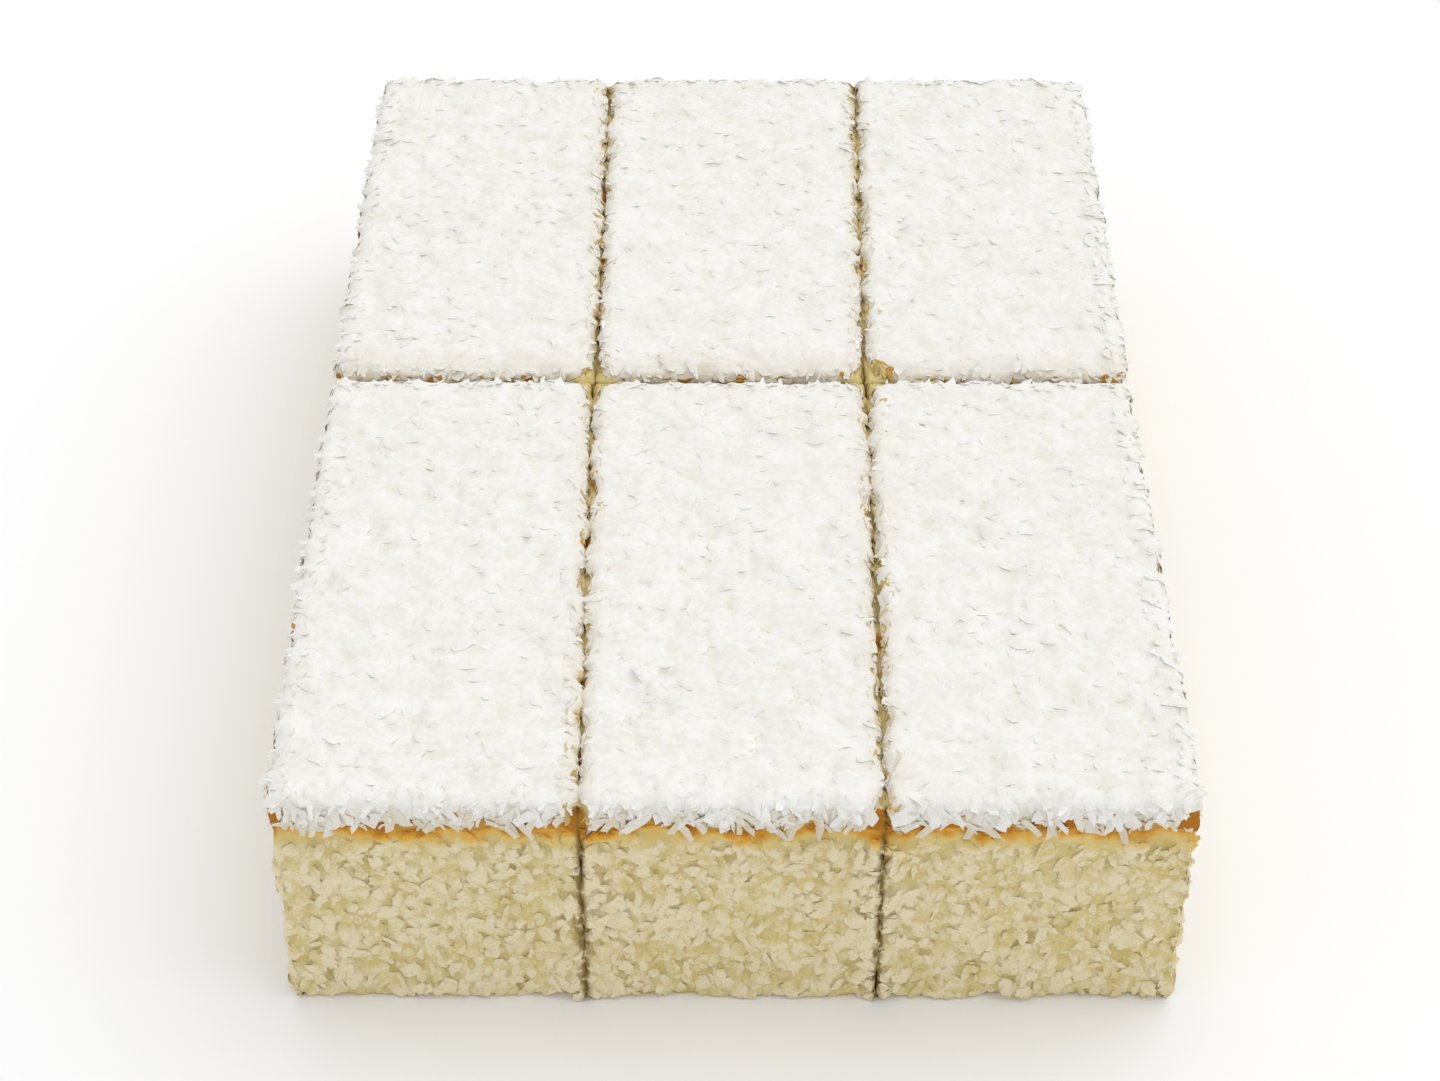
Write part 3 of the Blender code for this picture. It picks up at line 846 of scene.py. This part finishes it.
def stained(bed, sight, points):
    # how much crumb stain and painted shade the topping gets beside the cuts and along its lower edge, 0
    # to 1
    patchy = noiseAt(points, topping["crumbAndShadePatches"], 12)
    much, high, soft = topping["hemCrumbAndShade"]
    # painted shade under the rim, with some crumb stain, darkens the lower edge
    stain = much * np.clip((topping["base"] + high - points[..., 2]) / soft + patchy, 0, 1)
    for what, (edge, much, faint, deep, wide, below, ragged, soft) in topping["cutCrumbAndShade"].items():
        if what == "columnGap":
            near = sideways(bed, points, sight, what, *topping["dragged"])
        elif sight["near"] == "rowGap":
            near = fading(points[..., 1], 0, topping["slump"]["radius"])
        else:
            continue
        # beside the cuts and down in them the crumb stain is deepened with painted shade
        beside = np.maximum(much * np.clip((near - edge + 0.3 * patchy) / 0.12, 0, 1), faint * near)
        low = np.clip((bed.top - below + ragged * patchy - points[..., 2]) / soft, 0, 1)
        within = deep * low * (sideways(bed, points, sight, what, wide, 0.5) > 0)
        stain = np.maximum(stain, np.maximum(beside, within))
    return stain


def icingSlab(bed):
    # a slab from 0 to -1, finely divided on top and round its sides, and its underside's vertices
    bm = bmesh.new()
    spans = [round(size / topping["step"]) for size in (bed.width, bed.length)]
    bmesh.ops.create_grid(bm, x_segments=spans[0], y_segments=spans[1], size=0.5)
    grown = bmesh.ops.extrude_face_region(bm, geom=bm.faces[:])["geom"]
    lowered = [item for item in grown if isinstance(item, bmesh.types.BMVert)]
    bmesh.ops.translate(bm, verts=lowered, vec=(0, 0, -1))
    under = [item for item in grown if isinstance(item, bmesh.types.BMFace)]
    bmesh.ops.dissolve_faces(bm, faces=under, use_verts=True)
    upright = [e for e in bm.edges if abs(e.verts[0].co.z - e.verts[1].co.z) > 0.5]
    bmesh.ops.subdivide_edges(bm, edges=upright, cuts=topping["rimCuts"])
    floor = max(bm.faces, key=lambda face: len(face.verts))
    bmesh.ops.inset_individual(bm, faces=[floor], thickness=0.02)
    bmesh.ops.recalc_face_normals(bm, faces=bm.faces)
    bm.verts.index_update()
    return bm, [vertex.index for vertex in floor.verts]


def makeIcing(name, bed, sight, pile, faces, finish):
    # the icing that holds the shreds: a rounded slab that fills in between them
    bm, underside = icingSlab(bed)
    points = np.array([vertex.co[:] for vertex in bm.verts])
    down = -points[:, 2] * topping["hem"]
    points[:, 0] = (points[:, 0] + 0.5) * bed.width
    points[:, 1] = (points[:, 1] + 0.5) * bed.length
    points[:, 2] = bed.top - down * (bed.top - topping["base"])
    surface, normals = bed.project(points)
    surface[:, 2] = np.where(down > 0, np.minimum(surface[:, 2], points[:, 2]), surface[:, 2])
    ground = lumps(bed, surface)
    top = skyline(pile, faces, bed.warp(surface), normals, ground)
    fill = np.interp(surface[:, 2], (bed.top - 2.0, bed.top - 0.4), topping["fill"][::-1])
    much, size = topping["dimples"]
    height = evened(top, bm, topping["blur"]) + fill + much * noiseAt(surface, size, 6)
    much, size = topping["hemLumps"]
    height = np.where(down > 0.95, much * noiseAt(surface, size, 20), height)
    places = bed.warp(surface + normals * height[:, None])
    # the lower edge is ragged, and the underside is drawn in behind it
    ragged = sum(much * noiseAt(surface, size, 8) for much, size in topping["ragged"])
    for what, much in topping["higher"].items():
        ragged += much * sideways(bed, surface, sight, what, 2.5, 3.0)
    ragged = np.minimum(ragged, topping["highest"] - topping["base"])
    places[:, 2] += ragged * np.clip(down, 0, 1)
    places[underside] = bed.warp(points[underside] * 0.96 + np.array([bed.width, bed.length, 0]) * 0.02)
    places[underside, 2] = topping["base"] + topping["hollow"]
    # lift also sets how much painted hollow shade each vertex gets
    values = {"tone": np.full(len(height), 0.5), "lift": height - ground,
              "stain": stained(bed, sight, surface),
              "bare": np.maximum(bared(bed, surface), soiled(bed, sight, surface))}
    return pieceFrom(name, bm, places, finish, values)


shreds = {
    "layers": 3,
    "spacing": 3.4,  # between neighbours of one layer
    "shares": (0.35, 0.2, 0.45),  # of strips, points and petals
    "half": (1.7, 3.0, 4.4),  # least, usual and most
    "width": (1.2, 1.7, 2.4),
    "shorter": (1, 0.75, 0.7),  # how many times as long each kind is
    "broader": (1, 1.5, 1.9),
    "thick": (0.20, 0.34),
    "tilt": 0.18,  # one end stands up and the other dips
    "lean": 0.12,  # and one side, too
    "bow": 0.08,
    "sideDepth": 2.5,  # how far down the side they are laid
    "reach": {"open": 6.0, "columnGap": 0.8, "rowGap": 2.0},  # past the topping's side
    "lay": {"steps": 6, "cell": 0.6, "batch": 40, "limp": 0.26, "roll": 0.3, "settle": 0.2},
}

fringe = {
    "from": 45.0,
    # mean distance along the side, share of points, half lengths, widths, and how high over that
    # the middles lie
    "open": (
        (2.8, 0.1, (1.5, 2.6), (1.8, 3.2), (0.3, 2.2)),
        (2.4, 0.15, (1.3, 2.5), (1.3, 2.3), (0.3, 3.0)),
        (2.5, 0.0, (2.2, 3.8), (1.2, 1.9), (-1.2, 1.4)),
        (3.2, 0.3, (0.8, 1.7), (0.5, 0.9), (-0.9, 0.6)),
    ),
    "rowGap": (
        (3.6, 0.7, (1.1, 2.0), (1.2, 2.4), (0.6, 2.2)),
        (7.0, 0.0, (1.8, 2.8), (1.1, 1.6), (0.8, 2.0)),
    ),
    "columnGap": (),
    "spread": 1.0,
    "root": (-0.1, 0.2),  # how far the two ends stand off
    "tip": (0.0, 1.2),
    "lean": 0.18,
    # mean distance, half lengths, widths, depth below the top and lean of what lies along the cuts
    # between columns and bridges them here and there
    "bridges": (1.7, (0.8, 2.0), (0.9, 1.9), (0.3, 1.3), (-0.9, -0.3)),
    "bridgeShares": (0.3, 0.3, 0.4),
}

# what stands out over the rim
spikes = {
    # mean distance along the side, half lengths, and how limp they are
    "open": (1.6, (1.2, 3.3), (0.0, 0.4)),
    "rowGap": (1.6, (1.5, 2.7), (0.0, 0.4)),
    "columnGap": (3.5, (1.1, 2.1), (0.4, 0.9)),
    "in": (0.3, 2.0),  # how far in their middles lie
    "below": (0, 1.2),
    "spread": 0.5,
    "root": (-0.3, 0),
    "tip": (0.1, 1.1),
    "width": (0.9, 2.2),
    "shares": (0.45, 0.3, 0.25),
}


def unrolled(bed, flat, depth):
    # places on a flat sheet wrapped over the bed: what lies past an edge goes down the side
    middle = np.array([bed.width, bed.length]) / 2
    down = np.maximum(np.abs(flat - middle) - middle, 0).max(axis=1)
    held = np.clip(flat, 0, (bed.width, bed.length))
    return np.column_stack([held, bed.top - down])[down < depth]


def cellsOver(spans, spacing):
    # the cells of a grid over the spans, and how many it has each way
    counts = np.round(spans / spacing).astype(int)
    return np.stack(np.meshgrid(*map(np.arange, counts), indexing="ij"), axis=-1).reshape(-1, 2), counts


def drawShreds(draw, places, shares, **fixed):
    # things to lay; points and petals are shorter and broader than strips
    count = len(places)
    kinds, form = drawForms(draw, count, shares)
    tilt = draw.uniform(-1, 1, count) * shreds["tilt"]
    half = draw.triangular(*shreds["half"], count) * np.array(shreds["shorter"])[kinds]
    things = {
        "place": places,
        "heading": draw.normal(size=(count, 3)),
        "half": half,
        "width": draw.triangular(*shreds["width"], count) * np.array(shreds["broader"])[kinds],
        "thick": draw.uniform(*shreds["thick"], count),
        "flex": 1 - 0.2 * draw.random(count) ** 2,
        "bow": draw.normal(0, shreds["bow"], count),
        "curl": np.column_stack([tilt, -tilt]),
        "lean": draw.uniform(-1, 1, count) * shreds["lean"],
        "form": form,
        "tone": draw.random(count),
    }
    things.update(fixed)
    return things


def alongSides(bed, sight, wanted, step, draw):
    # places along the sides that face what is wanted, with the way out and the way along
    runs = (
        ("near", (0, 0), (1, 0), (0, -1), bed.width),
        ("right", (bed.width, 0), (0, 1), (1, 0), bed.length),
        ("far", (bed.width, bed.length), (-1, 0), (0, 1), bed.width),
        ("left", (0, bed.length), (0, -1), (-1, 0), bed.length),
    )
    found = [np.zeros((0, 3))] * 3
    for side, start, along, out, span in runs:
        if sight[side] == wanted:
            count = round(span / step)
            run = draw.random(count) * span
            flat = np.array(start) + run[:, None] * np.array(along)
            ways = [np.tile((*way, 0.0), (count, 1)) for way in (out, along)]
            parts = (np.column_stack([flat, np.full(count, bed.top)]), *ways)
            found = [np.concatenate(pair) for pair in zip(found, parts)]
    return found


def hanging(draw, bed, sight, what):
    # a fringe of strips and points hangs down over the crust
    for step, pointed, half, width, height in fringe[what]:
        place, out, along = alongSides(bed, sight, what, step, draw)
        count = len(place)
        place[:, 2] = fringe["from"] + draw.uniform(*height, count)
        heading = along * draw.normal(0, fringe["spread"], (count, 1)) + (0, 0, -1)
        curl = np.column_stack([draw.uniform(*fringe["root"], count), draw.uniform(*fringe["tip"], count)])
        yield drawShreds(draw, place, (1 - pointed, pointed, 0), heading=heading, curl=curl,
                         flex=np.ones(count), lean=draw.normal(0, fringe["lean"], count),
                         half=draw.uniform(*half, count), width=draw.uniform(*width, count))


def standing(draw, bed, sight, what):
    step, half, limp = spikes[what]
    place, out, along = alongSides(bed, sight, what, step, draw)
    count = len(place)
    place = place - out * draw.uniform(*spikes["in"], (count, 1))
    place[:, 2] -= draw.uniform(*spikes["below"], count)
    heading = out + along * draw.normal(0, spikes["spread"], (count, 1))
    curl = np.column_stack([draw.uniform(*spikes["root"], count), draw.uniform(*spikes["tip"], count)])
    return drawShreds(draw, place, spikes["shares"], heading=heading, curl=curl,
                      flex=draw.uniform(*limp, count), half=draw.uniform(*half, count),
                      lean=draw.normal(0, fringe["lean"], count),
                      width=draw.uniform(*spikes["width"], count))


def bridging(draw, bed, sight):
    step, half, width, depths, lean = fringe["bridges"]
    place, out, along = alongSides(bed, sight, "columnGap", step, draw)
    count = len(place)
    place[:, 2] -= draw.uniform(*depths, count)
    heading = along + out * draw.normal(0, 0.3, (count, 1))
    return drawShreds(draw, place, fringe["bridgeShares"], heading=heading, flex=np.ones(count),
                      lean=draw.uniform(*lean, count), half=draw.uniform(*half, count),
                      width=draw.uniform(*width, count))


def makeShreds(name, bed, sight, forms, faces, finish, seed):
    draw = np.random.default_rng(seed)
    depth = shreds["sideDepth"]
    spans = np.array([bed.width, bed.length]) + 2 * depth
    parts = []
    for _ in range(shreds["layers"]):
        grid, counts = cellsOver(spans, shreds["spacing"])
        flat = (grid + draw.random(grid.shape)) / counts * spans - depth
        draw.shuffle(flat)
        parts.append(drawShreds(draw, unrolled(bed, flat, depth), shreds["shares"]))
    for what in ("open", "rowGap", "columnGap"):
        parts.extend(hanging(draw, bed, sight, what))
        parts.append(standing(draw, bed, sight, what))
    parts.append(bridging(draw, bed, sight))
    things = {key: np.concatenate([some[key] for some in parts]) for key in parts[0]}
    reach = {side: topping["bedDepth"] + shreds["reach"][sight[side]] for side in sides}
    vertices, lifts = lay(bed, lambda points: lumps(bed, points), forms, things, reach, shreds["lay"])
    middles = vertices.mean(axis=1) - bed.corner()
    values = {"tone": things["tone"], "stain": stained(bed, sight, middles), "bare": bared(bed, middles)}
    values = {key: np.repeat(numbers, vertices.shape[1]) for key, numbers in values.items()}
    return joinCopies(name, vertices, faces, finish, {**values, "lift": lifts}), vertices


flakes = {
    "shares": (0.15, 0.15, 0.7),  # of strips, points and petals
    "spacing": 1.86,
    "half": (0.6, 1.25, 2.5),  # least, usual and most
    "width": (0.9, 1.9, 3.8),
    "thick": (0.2, 0.36),
    "low": 0.8,
    "high": (41.6, 4.0, 9.0),  # how high they lie, and how far they creep over the crust in places
    "gapHigh": 47.6,  # loose crumb lies higher in the cuts
    "share": 0.95,  # of the places that are filled, and of those in the cuts
    "gapShare": 0.8,
    "spread": 0.6,  # how far they turn from hanging straight down
    "root": (-0.6, -0.2),  # it is sunk in the crumb
    "tip": (0, 0.24),  # and the free end stands off it
    "lean": 0.11,
    "limp": (0.7, 1),
    "gapDepth": 9.0,  # they reach this far down a side that faces the next slice
    "reach": {"open": 1.4, "columnGap": 0.75, "rowGap": 0.8},
    "jointShadePast": 0.45,  # how far past a slice's side they have to stand to get the painted shade at a joint
    "lay": {"steps": 4, "cell": 0.6, "batch": 40, "limp": 0.12, "roll": 0.3, "settle": 0.35},
}


def flakePlaces(draw, bed, sight):
    # a grid round the four sides, thinned out towards the crust and deep in the cuts
    spans = np.array([2 * (bed.width + bed.length), flakes["gapHigh"] - flakes["low"]])
    grid, counts = cellsOver(spans, flakes["spacing"])
    draw.shuffle(grid)
    run, height = ((grid + draw.random(grid.shape)) / counts * spans).T
    edges = np.cumsum([0, bed.width, bed.length, bed.width, bed.length])
    x = np.interp(run, edges, [0, bed.width, bed.width, 0, 0])
    y = np.interp(run, edges, [0, 0, bed.length, bed.length, 0])
    places = np.column_stack([x, y, height + flakes["low"]])
    sights = sightAt(bed, places, sight)
    keep = draw.random(len(run)) < flakes["gapShare"]
    keep &= places[:, 2] > cake["spongeTop"] - flakes["gapDepth"]
    keep |= sights == "open"
    mean, creep, size = flakes["high"]
    high = mean + creep * noiseAt(bed.warp(places), size, 11)
    high = np.where(sights == "columnGap", flakes["gapHigh"], high)
    keep &= draw.random(len(run)) < np.clip((high + 0.8 - places[:, 2]) / 3, 0, flakes["share"])
    return places[keep]


def makeFlakes(name, bed, sight, forms, faces, finish, seed):
    draw = np.random.default_rng(seed)
    places = flakePlaces(draw, bed, sight)
    count = len(places)
    heading = draw.normal(0, flakes["spread"], (count, 3)) + (0, 0, -1)
    curl = np.column_stack([draw.uniform(*flakes["root"], count), draw.uniform(*flakes["tip"], count)])
    things = {
        "place": places,
        "heading": heading,
        "half": draw.triangular(*flakes["half"], count),
        "width": draw.triangular(*flakes["width"], count),
        "thick": draw.uniform(*flakes["thick"], count),
        "flex": draw.uniform(*flakes["limp"], count),
        "bow": np.zeros(count),
        "curl": curl,
        "lean": draw.normal(0, flakes["lean"], count),
        "form": drawForms(draw, count, flakes["shares"])[1],
        "tone": draw.random(count),
    }
    reach = {side: flakes["reach"][sight[side]] for side in sides}

    def ground(points):
        return -tornDepth(bed, sight, points)

    vertices, lifts = lay(bed, ground, forms, things, reach, flakes["lay"])
    vertices[..., 2] += np.maximum(0.1 - vertices[..., 2].min(axis=1, keepdims=True), 0)  # over the floor
    values = {"tone": np.repeat(things["tone"], vertices.shape[1]), "lift": lifts,
              "smear": smearedAndShaded(bed, sight, vertices - bed.corner()),
              "jointShade": jointShading(bed, sight, bed.unwarped(vertices), flakes["jointShadePast"])}
    return joinCopies(name, vertices, faces, finish, values), vertices


def spongeBed(corners):
    # only its sides are used, so its top is out of the way
    return Bed(corners, 1000.0, dict.fromkeys(sides, sponge["corner"]), 1.0)


def toppingBed(corners, sight, where, column):
    inset = {side: topping["overhang"][sight[side]] - topping["bedDepth"] for side in sides}
    radius = {side: topping["radius"][sight[side]] for side in sides}
    if sight["near"] == "rowGap":
        radius["near"] = topping["slump"]["radius"]
        inset["near"] = topping["slump"]["overhang"] - topping["bedDepth"]
    bed = Bed(grownCorners(corners, inset), topping["top"] - topping["bedDepth"], radius, topping["drop"])
    nibble(bed, sight, where, column)
    part(bed, sight, column)
    return bed


finishes = {
    "shreds": coconutFinish("coconut", 0.55, 0.7),
    "icing": coconutFinish("icing", 0.6, 1.1),
    "sponge": crumbFinish("sponge", 0.9),
    "crumb": crumbFinish("crumb", 0.7),
}
shapes, faces = shapeBits()
print("made", len(finishes), "finishes and", len(shapes), "shapes of shreds and flakes")


def makeSlice(row, column, where, seed):
    sight = facing(row, column)
    corners = cutCorners(row, column)
    matBed = toppingBed(corners, sight, where, column)
    wallBed = spongeBed(corners)
    loose, pile = makeShreds(f"shreds_{where}", matBed, sight, shapes, faces, finishes["shreds"], seed)
    mat = makeIcing(f"icing_{where}", matBed, sight, pile, faces, finishes["icing"])
    torn, pile = makeFlakes(f"crumb_flakes_{where}", wallBed, sight, shapes, faces,
                            finishes["crumb"], seed + 100)
    block = makeSponge(f"crumb_block_{where}", wallBed, sight, pile, faces, finishes["sponge"])
    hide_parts(f"sponge_{where}")
    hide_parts(f"topping_{where}")
    for piece, slot in ((block, "sponge"), (mat, "coconut"), (loose, "coconut"), (torn, "sponge")):
        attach(piece, "root")
    sizes = [len(piece.data.loops) - 2 * len(piece.data.polygons) for piece in (loose, mat, torn, block)]
    print(where, "triangles of shreds, icing, flakes and sponge:", *sizes)


for rowIndex, row in enumerate(cake["rows"]):
    for column, columnName in enumerate(cake["columns"]):
        makeSlice(row, column, f"{row}_{columnName}", cake["seed"] + 10 * rowIndex + column)

studio = {
    "floorSize": 8.0,
    "floor": (0.945, 0.95, 0.962),
    "world": 0.76,
    "sunPower": 1.1,
    "sunSpread": 80,  # degrees
    "sunPlace": (0.4, 0.3, 1.0),
}


def makeStudio():
    bpy.ops.mesh.primitive_plane_add(size=studio["floorSize"])
    floor = bpy.context.object
    floor.name = "floor"
    floor.data.materials.append(Finish("floor", 0.9, Base_Color=(*studio["floor"], 1)).material)
    world = bpy.data.worlds.new("studio")
    world.use_nodes = True
    world.node_tree.nodes["Background"].inputs["Color"].default_value = (1, 1, 1, 1)
    world.node_tree.nodes["Background"].inputs["Strength"].default_value = studio["world"]
    bpy.context.scene.world = world
    sun = bpy.data.objects.new("sun", bpy.data.lights.new("sun", "SUN"))
    sun.data.energy = studio["sunPower"]
    sun.data.angle = math.radians(studio["sunSpread"])
    sun.location = studio["sunPlace"]
    sun.rotation_mode = "QUATERNION"
    sun.rotation_quaternion = sun.location.to_track_quat("Z", "Y")
    bpy.context.scene.collection.objects.link(sun)
    bpy.context.scene.view_settings.view_transform = "Standard"


camera = {
    "lens": 71.25,
    "sensor": 36,
    "place": (-0.0005, -0.4289, 0.3880),
    "down": 41.39,  # degrees below the horizon
    "turn": 0.24,
}


def makeCamera():
    eye = bpy.data.objects.new("camera", bpy.data.cameras.new("camera"))
    eye.data.lens = camera["lens"]
    eye.data.sensor_width = camera["sensor"]
    eye.data.sensor_fit = "HORIZONTAL"
    eye.location = camera["place"]
    eye.rotation_euler = (math.radians(90 - camera["down"]), 0, math.radians(camera["turn"]))
    bpy.context.scene.collection.objects.link(eye)
    bpy.context.scene.camera = eye


makeStudio()
makeCamera()
print("studio and camera set")
